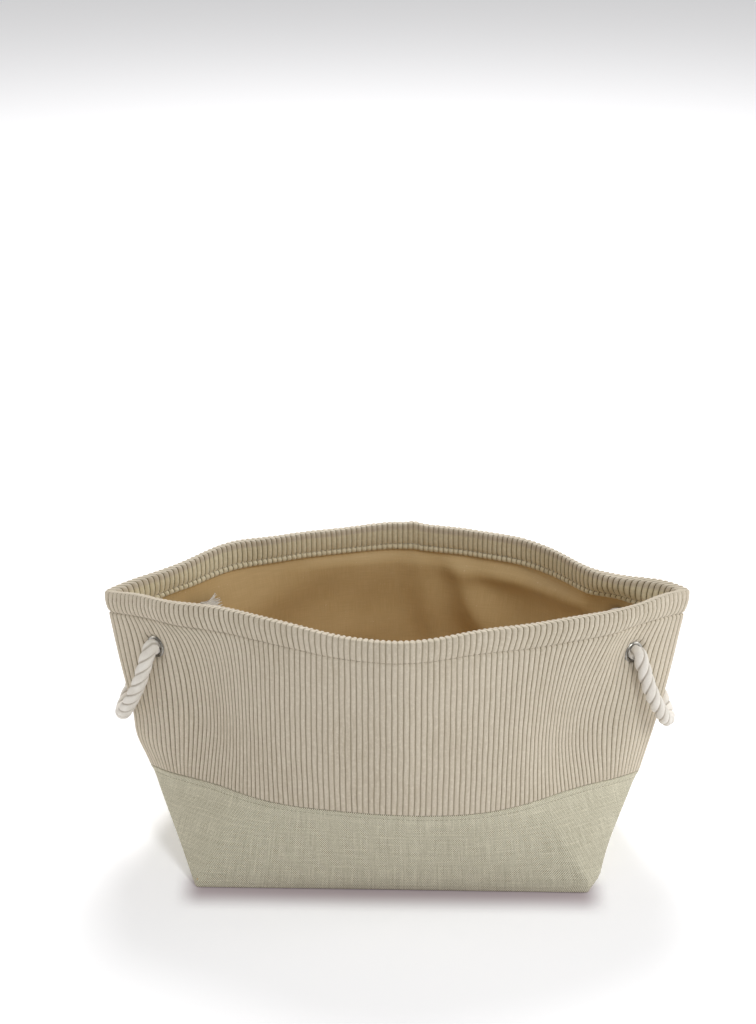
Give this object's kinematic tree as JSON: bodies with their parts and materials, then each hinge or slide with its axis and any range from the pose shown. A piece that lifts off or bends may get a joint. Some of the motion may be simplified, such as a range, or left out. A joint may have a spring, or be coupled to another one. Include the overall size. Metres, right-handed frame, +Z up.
{
  "type": "fabric storage bin",
  "caption": "Open storage bin with a ribbed fabric band over a plain fabric tub, a smooth lining, and rope handles through metal eyelets.",
  "frame": {"origin": "middle of the underside, on the surface that the bin stands on", "axes": "+Z up, +X along the bin's length towards the right handle, +Y towards the back"},
  "size_m": [0.3992, 0.2142, 0.193],
  "materials": {
    "corduroy": "warm beige wide-wale corduroy, soft pile",
    "linen": "grey-green flecked linen weave, matte",
    "felt": "stiff white felt",
    "board": "pressed fibre board",
    "lining": "tan coated cloth with a soft sheen",
    "eyelet_metal": "dark nickel plate",
    "rope": "off-white three-strand cotton rope",
    "corduroy_thread": "beige sewing thread",
    "linen_thread": "grey-green sewing thread"
  },
  "bodies": {
    "bin": {"corduroy_band": "corduroy", "linen_front": "linen", "linen_back": "linen", "linen_base": "linen", "wall_felt": "felt", "base_board": "board", "lining_front": "lining", "lining_back": "lining", "lining_base": "lining", "eyelet_front_left": "eyelet_metal", "eyelet_front_right": "eyelet_metal", "eyelet_back_left": "eyelet_metal", "eyelet_back_right": "eyelet_metal", "washer_front_left": "eyelet_metal", "washer_front_right": "eyelet_metal", "washer_back_left": "eyelet_metal", "washer_back_right": "eyelet_metal", "knot_front_left": "rope", "knot_front_right": "rope", "knot_back_left": "rope", "knot_back_right": "rope", "hem_thread": "corduroy_thread", "seam_thread": "linen_thread"},
    "handle_left": {"handle_rope_left": "rope"},
    "handle_right": {"handle_rope_right": "rope"}
  },
  "joints": [
    {"name": "handle_left_swing", "type": "hinge", "parent": "bin", "child": "handle_left", "pos_m": [-0.1671, 0, 0.15065], "axis": [0, 1, 0], "range_deg": [0, 150]},
    {"name": "handle_right_swing", "type": "hinge", "parent": "bin", "child": "handle_right", "pos_m": [0.1671, 0, 0.15065], "axis": [0, -1, 0], "range_deg": [0, 150]}
  ]
}
